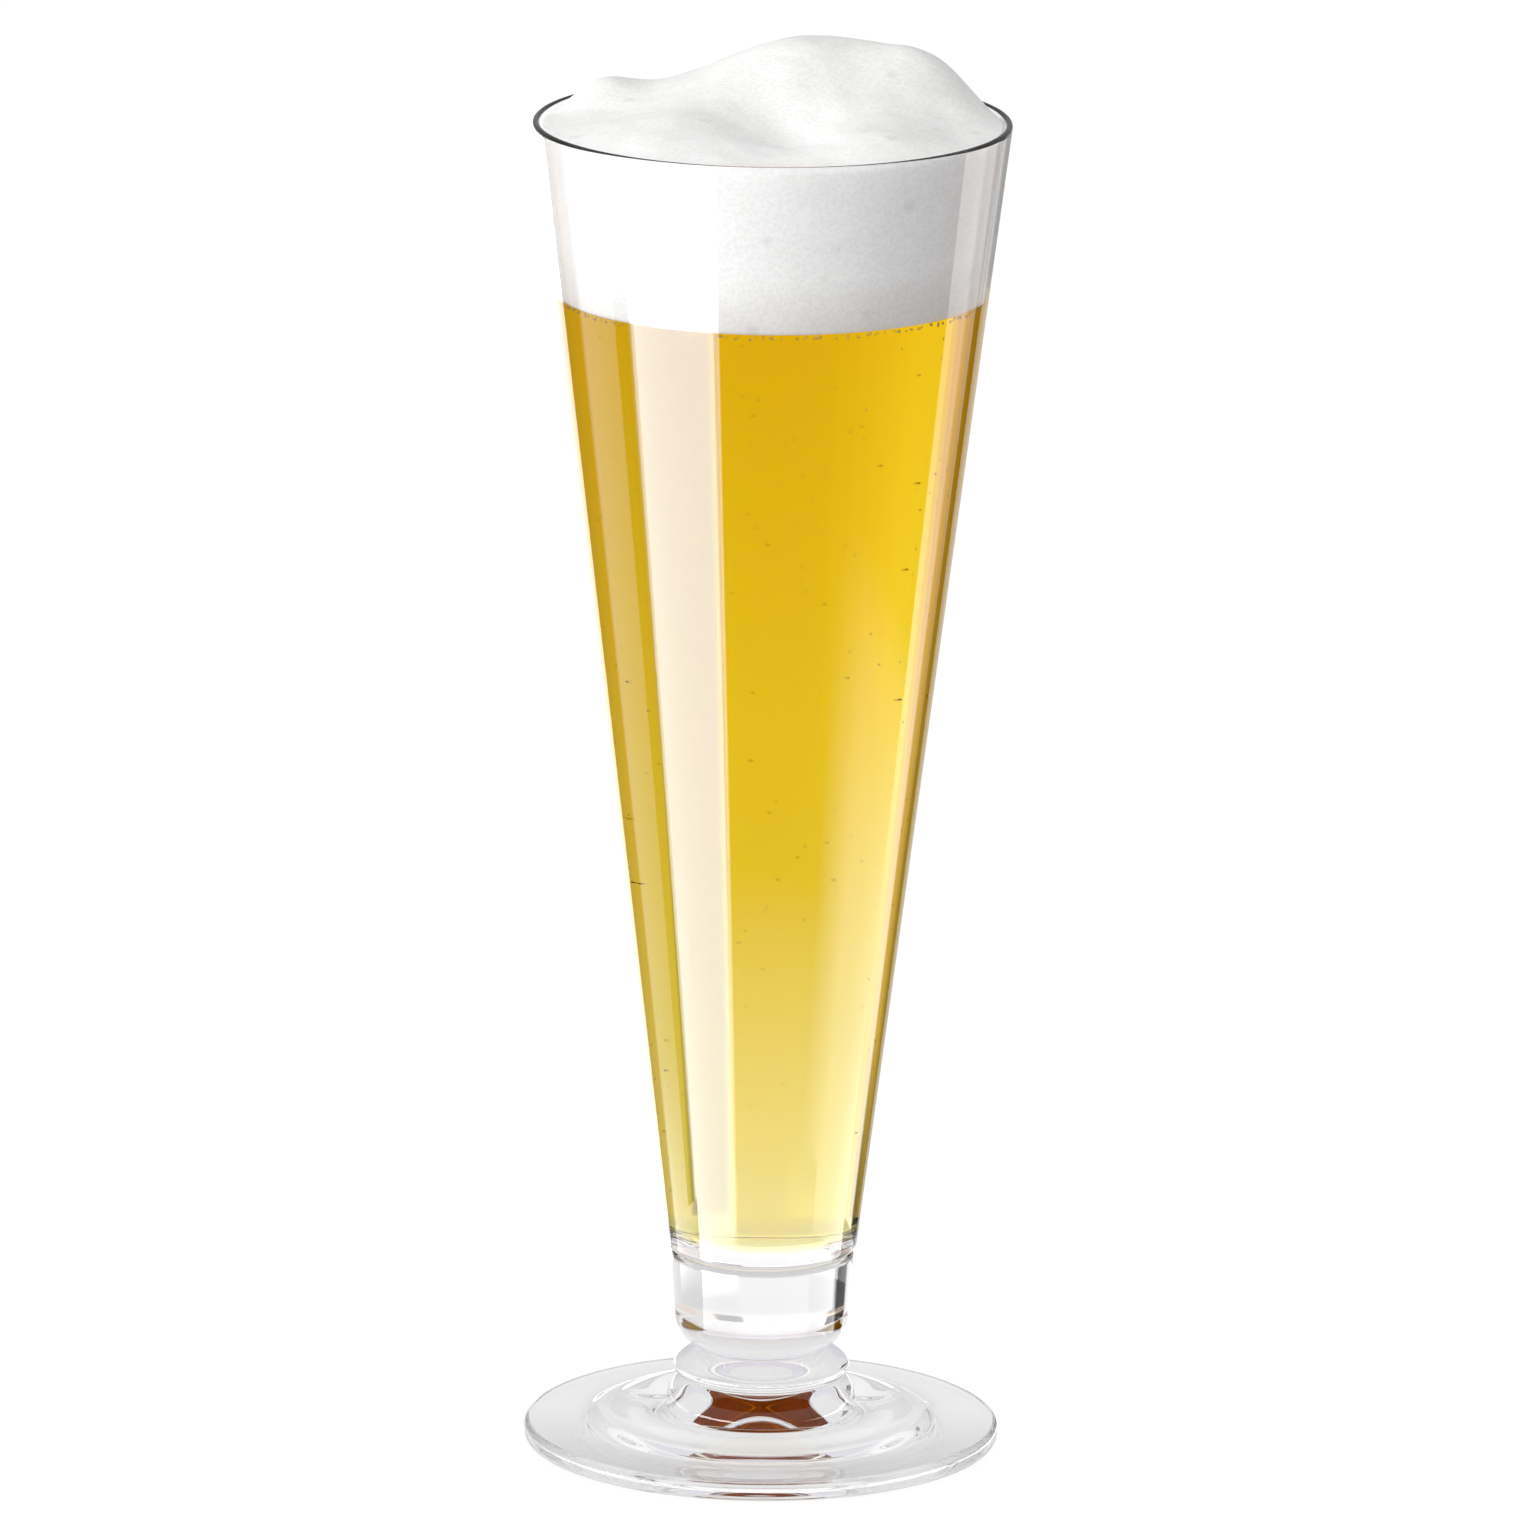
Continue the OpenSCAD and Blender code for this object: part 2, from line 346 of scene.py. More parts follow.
def dress(obj, material, chosen):
    """Gives the faces that chosen accepts, by centre and normal, another material."""
    obj.data.materials.append(material)
    number = len(obj.data.materials) - 1
    for face in obj.data.polygons:
        if chosen(face.center, face.normal):
            face.material_index = number
            face.use_smooth = material is not FUSED


# Materials

BEER_COLOUR = (0.962, 0.864, 0.0, 1)
BEER_DENSITY = 90.0
FOAM_WHITE = (0.96, 0.96, 0.955, 1)
FOAM_DIM = (0.90, 0.895, 0.88, 1)
# Colour of the foam's underside: wet foam, darkened further by painted shade
FOAM_WET_SHADE = (0.40, 0.39, 0.37, 1)
FOAM_CELLS = 1500.0
FOAM_CLUMPS = 260.0
FOAM_SPOTS = 120.0
FOAM_RELIEF_H = 0.15 * MM
FOAM_SOFT_DEPTH = 0.8 * MM
FOAM_WET_H = 9 * MM
# Height over which the painted shade on the crown comes in above the rim
CROWN_SHADE_FADE_H = 4 * MM

# How bright the foam stays in its grain, in larger bubbles, where it is wet, and under the painted shade on
# its crown
GRAIN_DIM, SPOT_DIM, WET_DIM, CROWN_PAINTED_SHADE = 0.9, 0.9, 0.8, 0.91
SPOT_CORE, SPOT_EDGE, GRAIN_EDGE = 0.09, 0.17, 0.7


def new_material(name):
    material = bpy.data.materials.new(name)
    material.use_nodes = True
    tree = material.node_tree
    tree.nodes.clear()
    return material, tree


def clear_material(name, ior):
    """Clear material that bends light and lets lamps through to what is behind it."""
    material, tree = new_material(name)
    body = add_node(tree, "ShaderNodeBsdfPrincipled", {
        "Base Color": (1, 1, 1, 1), "Roughness": 0.0, "IOR": ior, "Transmission Weight": 1.0})
    through = add_node(tree, "ShaderNodeBsdfTransparent")
    path = add_node(tree, "ShaderNodeLightPath")
    mix = add_node(tree, "ShaderNodeMixShader", {
        0: path.outputs["Is Shadow Ray"], 1: body.outputs[0], 2: through.outputs[0]})
    out = add_node(tree, "ShaderNodeOutputMaterial", {"Surface": mix.outputs[0]})
    return material, tree, out


def seam_material():
    """Fused glass: the seam between two pieces shows nothing of its own."""
    material, tree = new_material("fused_seam")
    through = add_node(tree, "ShaderNodeBsdfTransparent")
    add_node(tree, "ShaderNodeOutputMaterial", {"Surface": through.outputs[0]})
    return material


def beer_material():
    """Golden lager: no surface of its own inside the wet glass, and colour from its depth."""
    material, tree, out = clear_material("golden_beer", 1.0)
    depth = add_node(tree, "ShaderNodeVolumeAbsorption", {"Color": BEER_COLOUR, "Density": BEER_DENSITY})
    tree.links.new(depth.outputs[0], out.inputs["Volume"])
    return material


def foam_material():
    """White foam with faint grain and a few larger bubbles, greyer where it is wet, and with painted shade
    on the crown above the rim.
    """
    material, tree = new_material("beer_foam")
    coord = add_node(tree, "ShaderNodeTexCoord").outputs["Object"]
    cells = add_node(tree, "ShaderNodeTexVoronoi", {"Vector": coord, "Scale": FOAM_CELLS})
    clumps = add_node(tree, "ShaderNodeTexNoise", {"Vector": coord, "Scale": FOAM_CLUMPS, "Detail": 4.0})
    height = add_node(tree, "ShaderNodeMath", {
        0: cells.outputs["Distance"], 1: clumps.outputs["Fac"]}, operation="ADD")
    relief = add_node(tree, "ShaderNodeBump", {
        "Strength": 0.12, "Distance": FOAM_RELIEF_H, "Height": height.outputs[0]})
    tint = add_node(tree, "ShaderNodeMix", {
        "Factor": clumps.outputs["Fac"], 6: FOAM_DIM, 7: FOAM_WHITE}, data_type="RGBA")
    grain = add_node(tree, "ShaderNodeMapRange", {
        "Value": cells.outputs["Distance"], "From Min": 0.0, "From Max": GRAIN_EDGE,
        "To Min": GRAIN_DIM, "To Max": 1.0})
    large = add_node(tree, "ShaderNodeTexVoronoi", {"Vector": coord, "Scale": FOAM_SPOTS})
    spots = add_node(tree, "ShaderNodeMapRange", {
        "Value": large.outputs["Distance"], "From Min": SPOT_CORE, "From Max": SPOT_EDGE,
        "To Min": SPOT_DIM, "To Max": 1.0})
    parts = add_node(tree, "ShaderNodeSeparateXYZ", {0: coord})
    drained = add_node(tree, "ShaderNodeMapRange", {
        "Value": parts.outputs["Z"], "From Min": BEER_TOP, "From Max": BEER_TOP + FOAM_WET_H,
        "To Min": WET_DIM, "To Max": 1.0})
    # Painted shade: the foam turns darker above the rim, standing in for how the light falls on its top
    crown_shade = add_node(tree, "ShaderNodeMapRange", {
        "Value": parts.outputs["Z"], "From Min": RIM_Z, "From Max": RIM_Z + CROWN_SHADE_FADE_H,
        "To Min": 1.0, "To Max": CROWN_PAINTED_SHADE})
    wet_and_crown_shade = add_node(tree, "ShaderNodeMath", {
        0: drained.outputs[0], 1: crown_shade.outputs[0]}, operation="MULTIPLY")
    marks = add_node(tree, "ShaderNodeMath", {
        0: grain.outputs[0], 1: spots.outputs[0]}, operation="MULTIPLY")
    level = add_node(tree, "ShaderNodeMath", {
        0: marks.outputs[0], 1: wet_and_crown_shade.outputs[0]}, operation="MULTIPLY")
    colour = add_node(tree, "ShaderNodeVectorMath", {
        0: tint.outputs[2], "Scale": level.outputs[0]}, operation="SCALE")
    body = add_node(tree, "ShaderNodeBsdfPrincipled", {
        "Base Color": colour.outputs[0], "Roughness": 0.7, "Specular IOR Level": 0.2,
        "Subsurface Weight": 0.6, "Subsurface Radius": (1.0, 1.0, 0.95),
        "Subsurface Scale": FOAM_SOFT_DEPTH, "Normal": relief.outputs[0]})
    add_node(tree, "ShaderNodeOutputMaterial", {"Surface": body.outputs[0]})
    return material


def foam_under_material():
    """Underside of the foam, wet with beer, and darkened further by painted shade."""
    material, tree = new_material("foam_underside")
    body = add_node(tree, "ShaderNodeBsdfPrincipled", {"Base Color": FOAM_WET_SHADE, "Roughness": 0.8})
    add_node(tree, "ShaderNodeOutputMaterial", {"Surface": body.outputs[0]})
    return material


GLASS = clear_material("clear_glass", GLASS_IOR)[0]
WET_GLASS = clear_material("glass_against_beer", GLASS_IOR / BEER_IOR)[0]
FUSED = seam_material()
BEER = beer_material()
FOAM = foam_material()
FOAM_UNDER = foam_under_material()
BUBBLE = clear_material("gas_bubble", BEER_IOR)[0]


# Glass pieces

LEVEL = 0.999
UPWARD = 0.5
NEAR = 1e-5


def seam_at(z):
    """Picks the level faces at a seam."""
    return lambda centre, normal: abs(centre.z - z) < NEAR and abs(normal.z) > LEVEL


def within(radius, chosen):
    return lambda centre, normal: chosen(centre, normal) and centre.xy.length < radius


def wet(centre, normal):
    """Picks the inner faces of the bowl that the beer touches."""
    inward = normal.xy.dot(centre.xy) < 0 or normal.z > UPWARD
    return inward and centre.z < BEER_TOP


bowl = lathe("glass_bowl", bowl_profile(), GLASS)
dress(bowl, WET_GLASS, wet)
dress(bowl, FUSED, seam_at(BOWL_Z))
block = lathe("glass_base_block", block_profile(), GLASS)
dress(block, FUSED, within(BOWL_BASE_R - BOWL_EDGE_R, seam_at(BOWL_Z)))
dress(block, FUSED, seam_at(BLOCK_Z))
knop = lathe("glass_stem_knop", knop_profile(), GLASS)
dress(knop, FUSED, seam_at(BLOCK_Z))
dress(knop, FUSED, seam_at(KNOP_Z))
foot = lathe("glass_foot", foot_profile(), GLASS)
dress(foot, FUSED, seam_at(KNOP_Z))

# Beer, which reaches a little way into the foam
BEER_IN_FOAM = 0.3 * MM
beer_outline = cavity(FILL_GAP, BEER_TOP + BEER_IN_FOAM)
beer = lathe("beer_fill", beer_outline + [(0, BEER_TOP + BEER_IN_FOAM)], BEER)


# Foam

FOAM_SECTORS = 360
FOAM_WALL_ROWS = 48
FOAM_TOP_ROWS = 80
FOAM_EDGE_Z = RIM_Z - FOAM_EDGE_DROP
FOAM_R = wall_r(FOAM_EDGE_Z) - FILL_GAP / WALL_COS
RIPPLE_SIZE = 9.0 * MM
RIPPLE_H = 0.35 * MM
RIPPLE_TOP = 0.5
RIPPLE_OCTAVES = 2


def crown(x, y):
    """Height of the foam over its edge, at a place given in shares of its radius."""
    lumps = sum(
        h * math.exp(-((x - lx) ** 2 + (y - ly) ** 2) / (2 * spread ** 2))
        for lx, ly, h, spread in FOAM_LUMP_SHARES)
    return FOAM_CROWN_H * lumps * (1 - math.hypot(x, y) ** FOAM_EDGE_POWER)


def foam_point(share, angle):
    x, y = share * math.cos(angle), share * math.sin(angle)
    spot = Vector((x, y, 0)) * FOAM_R
    inside = 1 - share ** FOAM_EDGE_POWER
    wave = noise.fractal(spot / RIPPLE_SIZE, 1.0, 2.0, RIPPLE_OCTAVES)
    ripple = RIPPLE_H * inside * min(0.0, wave - RIPPLE_TOP)
    return (spot.x, spot.y, FOAM_EDGE_Z + crown(x, y) + ripple)


def foam_mesh():
    angles = [math.tau * i / FOAM_SECTORS for i in range(FOAM_SECTORS)]
    rows = []
    for k in range(FOAM_WALL_ROWS):
        z = BEER_TOP + (FOAM_EDGE_Z - BEER_TOP) * k / FOAM_WALL_ROWS
        r = wall_r(z) - FILL_GAP / WALL_COS
        rows.append([(r * math.cos(a), r * math.sin(a), z) for a in angles])
    for k in range(FOAM_TOP_ROWS):
        rows.append([foam_point(1 - k / FOAM_TOP_ROWS, a) for a in angles])
    points = [p for row in rows for p in row]
    under, peak = len(points), len(points) + 1
    points += [(0, 0, BEER_TOP), foam_point(0, 0)]
    faces = []
    last = (len(rows) - 1) * FOAM_SECTORS
    for i in range(FOAM_SECTORS):
        j = (i + 1) % FOAM_SECTORS
        faces.append((under, j, i))
        faces.append((last + i, last + j, peak))
        for k in range(len(rows) - 1):
            low, high = k * FOAM_SECTORS, (k + 1) * FOAM_SECTORS
            faces.append((low + i, low + j, high + j, high + i))
    obj = mesh_object("foam_crown", points, (), faces)
    obj.data.shade_smooth()
    obj.data.materials.append(FOAM)
    return obj


foam = foam_mesh()
# The underside takes its darker colour: partly wetness, partly painted shade
dress(foam, FOAM_UNDER, seam_at(BEER_TOP))


# Gas bubbles in the beer, and a line of them along the edge of the foam

def bubbles(name, low, high, density, seed, radii, depths):
    """Bubbles under the side of the beer, between two heights."""
    rows, sides = BUBBLE_ROWS, BUBBLE_SIDES
    angles = [math.tau * i / sides for i in range(sides)]
    points = []
    for k in range(rows + 1):
        z = low + (high - low) * k / rows
        r = wall_r(z) - FILL_GAP / WALL_COS
        points += [(r * math.cos(a), r * math.sin(a), z) for a in angles]
    faces = [
        (k * sides + i, k * sides + (i + 1) % sides, (k + 1) * sides + (i + 1) % sides, (k + 1) * sides + i)
        for k in range(rows) for i in range(sides)]
    return grow(mesh_object(name, points, (), faces), BUBBLES, {
        "Density": density, "Seed": seed, "Small Radius": radii[0], "Large Radius": radii[1],
        "Least Depth": depths[0], "Most Depth": depths[1], "Material": BUBBLE})


BEER_BUBBLE_RADII = (0.10 * MM, 0.22 * MM)
BEER_BUBBLE_DEPTHS = (0.4 * MM, 2.5 * MM)
BEER_BUBBLES_LOW = FLOOR_Z + 5 * MM
BEER_BUBBLES_HIGH = BEER_TOP - 2 * MM
EDGE_BUBBLE_RADII = (0.14 * MM, 0.26 * MM)
EDGE_BUBBLE_DEPTHS = (0.32 * MM, 0.45 * MM)
EDGE_BUBBLES_LOW = BEER_TOP - 0.9 * MM
EDGE_BUBBLES_HIGH = BEER_TOP - 0.35 * MM

beer_bubbles = bubbles(
    "beer_bubbles", BEER_BUBBLES_LOW, BEER_BUBBLES_HIGH, density=20000, seed=5,
    radii=BEER_BUBBLE_RADII, depths=BEER_BUBBLE_DEPTHS)
edge_bubbles = bubbles(
    "foam_edge_bubbles", EDGE_BUBBLES_LOW, EDGE_BUBBLES_HIGH, density=2.4e6, seed=8,
    radii=EDGE_BUBBLE_RADII, depths=EDGE_BUBBLE_DEPTHS)
for piece in (beer_bubbles, edge_bubbles):
    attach(piece, "root")

for piece, slot, node in (
    (bowl, "clear_glass", "bowl"),
    (block, "clear_glass", "base_block"),
    (knop, "clear_glass", "stem_knop"),
    (foot, "clear_glass", "foot"),
    (beer, "beer", "beer"),
    (foam, "foam", "foam_head"),
):
    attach(piece, "root")
    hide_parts(node)


# Stage

FLOOR_R = 8.0
FLOOR_DROP = 0.2 * MM
FLOOR_GLOW = 0.76
FLOOR_COLOUR = (0.3, 0.3, 0.3, 1)
FLOOR_BOUNCE = (0.8, 0.8, 0.8, 1)
AMBIENT = 0.86
ROOF_LEVEL = 0.95
SHADE_FRONT, SHADE_BACK, SHADE_LEVEL = -34 * MM, 8 * MM, 0.6
CARD_TURN, WALL_TURN = 3, 5


def seen_directly(tree):
    """1 for what the camera sees, by itself or in and through glass, and 0 for light on a matt surface."""
    path = add_node(tree, "ShaderNodeLightPath").outputs
    either = add_node(tree, "ShaderNodeMath", {
        0: path["Is Camera Ray"], 1: path["Is Glossy Ray"]}, operation="MAXIMUM")
    seen = add_node(tree, "ShaderNodeMath", {
        0: either.outputs[0], 1: path["Is Transmission Ray"]}, operation="MAXIMUM")
    direct = add_node(tree, "ShaderNodeMath", {
        0: seen.outputs[0], 1: path["Diffuse Depth"]}, operation="SUBTRACT", use_clamp=True)
    return direct.outputs[0]


def floor_material():
    """White table that keeps the shadow."""
    material, tree = new_material("white_table")
    plain = add_node(tree, "ShaderNodeBsdfDiffuse", {"Color": FLOOR_BOUNCE})
    pale = add_node(tree, "ShaderNodeBsdfDiffuse", {"Color": FLOOR_COLOUR})
    glow = add_node(tree, "ShaderNodeEmission", {"Strength": FLOOR_GLOW})
    white = add_node(tree, "ShaderNodeAddShader", {0: pale.outputs[0], 1: glow.outputs[0]})
    mix = add_node(tree, "ShaderNodeMixShader", {
        0: seen_directly(tree), 1: plain.outputs[0], 2: white.outputs[0]})
    add_node(tree, "ShaderNodeOutputMaterial", {"Surface": mix.outputs[0]})
    return material


def even_light(tree, level):
    """A card's level for what the camera sees, and the plain light level for what lights a matt surface."""
    depth = add_node(tree, "ShaderNodeLightPath").outputs["Diffuse Depth"]
    lighting = add_node(tree, "ShaderNodeMath", {0: depth, 1: 1.0}, operation="MINIMUM")
    mix = add_node(tree, "ShaderNodeMix", {
        "Factor": lighting.outputs[0], 2: level, 3: AMBIENT}, data_type="FLOAT")
    return mix.outputs[0]


def level_at(tree, strength, far):
    """A card's strength, or its change to another strength between two distances from the axis."""
    if not far:
        return strength
    coord = add_node(tree, "ShaderNodeTexCoord").outputs["Object"]
    distance = add_node(tree, "ShaderNodeVectorMath", {0: coord}, operation="LENGTH")
    return add_node(tree, "ShaderNodeMapRange", {
        "Value": distance.outputs["Value"], "From Min": far[1], "From Max": far[2],
        "To Min": strength, "To Max": far[0]}).outputs[0]


def card_material(name, level, end_level=None):
    """Card of one level, or one that turns into another level from its start to its end."""
    material, tree = new_material(name)
    strength, far, colour = level
    value = level_at(tree, strength, far)
    if end_level:
        strength, far, end_colour = end_level
        turn = add_node(tree, "ShaderNodeAttribute", attribute_name="turn").outputs["Fac"]
        value = add_node(tree, "ShaderNodeMix", {
            "Factor": turn, 2: value, 3: level_at(tree, strength, far)}, data_type="FLOAT").outputs[0]
        colour = add_node(tree, "ShaderNodeMix", {
            "Factor": turn, 6: colour, 7: end_colour}, data_type="RGBA").outputs[2]
    glow = add_node(tree, "ShaderNodeEmission", {"Color": colour, "Strength": even_light(tree, value)})
    add_node(tree, "ShaderNodeOutputMaterial", {"Surface": glow.outputs[0]})
    return material


def roof_material():
    """As white as the table from above, and nothing from below."""
    material, tree = new_material("plain_card_roof")
    glow = add_node(tree, "ShaderNodeEmission", {"Strength": ROOF_LEVEL})
    clear = add_node(tree, "ShaderNodeBsdfTransparent")
    below = add_node(tree, "ShaderNodeNewGeometry").outputs["Backfacing"]
    mix = add_node(tree, "ShaderNodeMixShader", {0: below, 1: glow.outputs[0], 2: clear.outputs[0]})
    add_node(tree, "ShaderNodeOutputMaterial", {"Surface": mix.outputs[0]})
    return material


def shade_material():
    """Table under the foot, darker towards the viewer."""
    material, tree = new_material("foot_shade")
    coord = add_node(tree, "ShaderNodeTexCoord").outputs["Object"]
    parts = add_node(tree, "ShaderNodeSeparateXYZ", {0: coord})
    dimmed = add_node(tree, "ShaderNodeMapRange", {
        "Value": parts.outputs["Y"], "From Min": SHADE_FRONT, "From Max": SHADE_BACK,
        "To Min": SHADE_LEVEL, "To Max": 1.0})
    glow = add_node(tree, "ShaderNodeEmission", {"Strength": even_light(tree, dimmed.outputs[0])})
    add_node(tree, "ShaderNodeOutputMaterial", {"Surface": glow.outputs[0]})
    return material


def facing(azimuth):
    """Level direction at an angle from the viewer's side, positive to the viewer's right."""
    a = math.radians(azimuth)
    return Vector((math.sin(a), -math.cos(a), 0))


def sector(name, start, end, inner, outer, height, material, outer_height=None):
    """Ring sector between two directions, flat unless its outer edge has a height of its own."""
    steps = max(2, round(abs(end - start) / CARD_TURN))
    turns = [start + (end - start) * i / steps for i in range(steps + 1)]
    edges = ((inner, height), (outer, height if outer_height is None else outer_height))
    points = [facing(a) * r + Vector((0, 0, z)) for a in turns for r, z in edges]
    faces = [(2 * i, 2 * i + 1, 2 * i + 3, 2 * i + 2) for i in range(steps)]
    obj = mesh_object(name, points, (), faces)
    shares = obj.data.attributes.new("turn", "FLOAT", "POINT")
    shares.data.foreach_set("value", [i / steps for i in range(steps + 1) for r in (inner, outer)])
    obj.data.materials.append(material)
    return obj


def wall_card(name, start, end, radius, low, high, level):
    """Upright card, bent round the glass between two directions and two heights."""
    steps = round((end - start) / WALL_TURN)
    turns = [start + (end - start) * i / steps for i in range(steps + 1)]
    points = [facing(a) * radius + Vector((0, 0, z)) for a in turns for z in (low, high)]
    obj = mesh_object(name, points, (), [(2 * i, 2 * i + 1, 2 * i + 3, 2 * i + 2) for i in range(steps)])
    obj.data.materials.append(card_material(name, level))
    return obj


def seen_only(obj, mirrored=False, through=False):
    """Leaves a card in reflections, or in what is seen through glass, and out of everything else."""
    obj.visible_camera = False
    obj.visible_diffuse = False
    obj.visible_glossy = mirrored
    obj.visible_transmission = through
    obj.visible_shadow = False
    obj.visible_volume_scatter = False


sector("table", -180, 180, 0, FLOOR_R, -FLOOR_DROP, floor_material())

# Card levels: a strength, the strength further out with the two distances between which it changes, a tint
WHITE = (1, 1, 1, 1)
STRAW = (1, 0.96, 0.93, 1)
BUFF = (1, 0.86, 0.78, 1)
TAN = (1, 0.76, 0.58, 1)
COOL = (0.95, 0.93, 1, 1)
DARK = (0.0, None, WHITE)
FRONT_NEAR = (6.5, (3.7, 0.08, 0.11), WHITE)
FRONT = (3.7, (0.0, 0.11, 0.21), WHITE)
RIGHT_NEAR = (5.0, None, WHITE)
RIGHT = (7.0, (0.0, 0.09, 0.36), WHITE)
WHITE_RIGHT_NEAR = (1.5, None, WHITE)
WHITE_RIGHT = (4.0, (2.0, 0.15, 0.50), WHITE)
BROWN_RIGHT = (0.0, (1.1, 0.20, 0.80), WHITE)
PALE_RIGHT = (0.6, None, WHITE)
PANEL = (5.5, (15.0, 0.074, 0.084), WHITE)
LEFT_NEAR = (1.0, (3.5, 0.078, 0.09), WHITE)
LEFT = (3.0, (1.4, 0.10, 0.17), WHITE)
BACK_LEFT = (2.2, None, WHITE)
TABLE_NEAR = (0.66, (0.86, 0.12, 0.28), WHITE)
TABLE = (0.86, (0.98, 0.28, 0.8), WHITE)
BRIGHT_BACK = (0.82, (1.15, 0.45, 1.0), WHITE)
GREY_LIMB = (0.78, None, BUFF)
GREY_RIGHT = (0.78, None, STRAW)
STRIP = (0.66, (0.35, 0.19, 0.215), WHITE)
BLOCK_STRIP = (0.03, None, WHITE)
LIMB_DARK = (0.2, (0.78, 0.28, 0.55), TAN)
LIMB_BROWN = (0.44, None, TAN)
ABOVE_MIRRORED = (0.05, None, WHITE)
ABOVE_THROUGH = (0.78, None, COOL)
WALL_MIRRORED = (0.4, None, WHITE)

# Cards that the glass mirrors: start and end direction, two radii, level, and level at the end
CARD_IN, BLOCK_R, NEAR_R, LOW_R, CARD_OUT = 0.042, 0.085, 0.10, 0.11, 1.5
CARD_Z = 0.4 * MM
for name, start, end, inner, outer, level, end_level in (
    ("soft_panel_left", -77, -33, CARD_IN, CARD_OUT, PANEL, None),
    ("panel_edge_near", -33, -27, CARD_IN, LOW_R, PANEL, FRONT_NEAR),
    ("panel_edge", -33, -27, LOW_R, CARD_OUT, PANEL, FRONT),
    ("front_card_near", -27, 58, CARD_IN, LOW_R, FRONT_NEAR, None),
    ("front_card", -27, 40, LOW_R, CARD_OUT, FRONT, None),
    ("right_edge", 40, 66, LOW_R, CARD_OUT, FRONT, RIGHT),
    ("right_card_near", 58, 104, CARD_IN, BLOCK_R, RIGHT_NEAR, None),
    ("right_card_low", 58, 107, BLOCK_R, LOW_R, RIGHT, None),
    ("right_card", 66, 107, LOW_R, CARD_OUT, RIGHT, None),
    ("dark_card_right_near", 107, 130, CARD_IN, BLOCK_R, DARK, None),
    ("white_card_right_near", 130, 180, CARD_IN, NEAR_R, WHITE_RIGHT_NEAR, None),
    ("white_card_right", 107, 124, NEAR_R, CARD_OUT, WHITE_RIGHT, None),
    ("brown_edge_right", 124, 128, NEAR_R, CARD_OUT, WHITE_RIGHT, BROWN_RIGHT),
    ("brown_card_right", 128, 139, NEAR_R, CARD_OUT, BROWN_RIGHT, None),
    ("dark_card_right", 139, 149, NEAR_R, CARD_OUT, DARK, None),
    ("pale_card_right", 149, 180, NEAR_R, CARD_OUT, PALE_RIGHT, None),
    ("pale_card_left_near", -122, -77, CARD_IN, NEAR_R, LEFT_NEAR, None),
    ("panel_edge_left", -82, -77, NEAR_R, CARD_OUT, DARK, PANEL),
    ("dark_card_left", -91, -82, NEAR_R, CARD_OUT, DARK, None),
    ("white_card_left", -120, -91, NEAR_R, CARD_OUT, LEFT, None),
    ("white_edge_left", -124, -120, NEAR_R, CARD_OUT, DARK, LEFT),
    ("dark_card_back_left", -144, -124, NEAR_R, CARD_OUT, DARK, None),
    ("white_card_back_left", -180, -144, NEAR_R, CARD_OUT, BACK_LEFT, None),
):
    card = sector(name, start, end, inner, outer, CARD_Z, card_material(name, level, end_level))
    seen_only(card, mirrored=True)

# A low cone over the cards next to the foot: the block mirrors them from under it, and the bowl doesn't
ROOF_IN, ROOF_OUT, ROOF_HIGH, ROOF_LOW = 0.022, 0.0935, 45.3 * MM, 1 * MM
roof = sector("plain_card_roof", -180, 180, ROOF_IN, ROOF_OUT, ROOF_HIGH, roof_material(), ROOF_LOW)
seen_only(roof, mirrored=True)

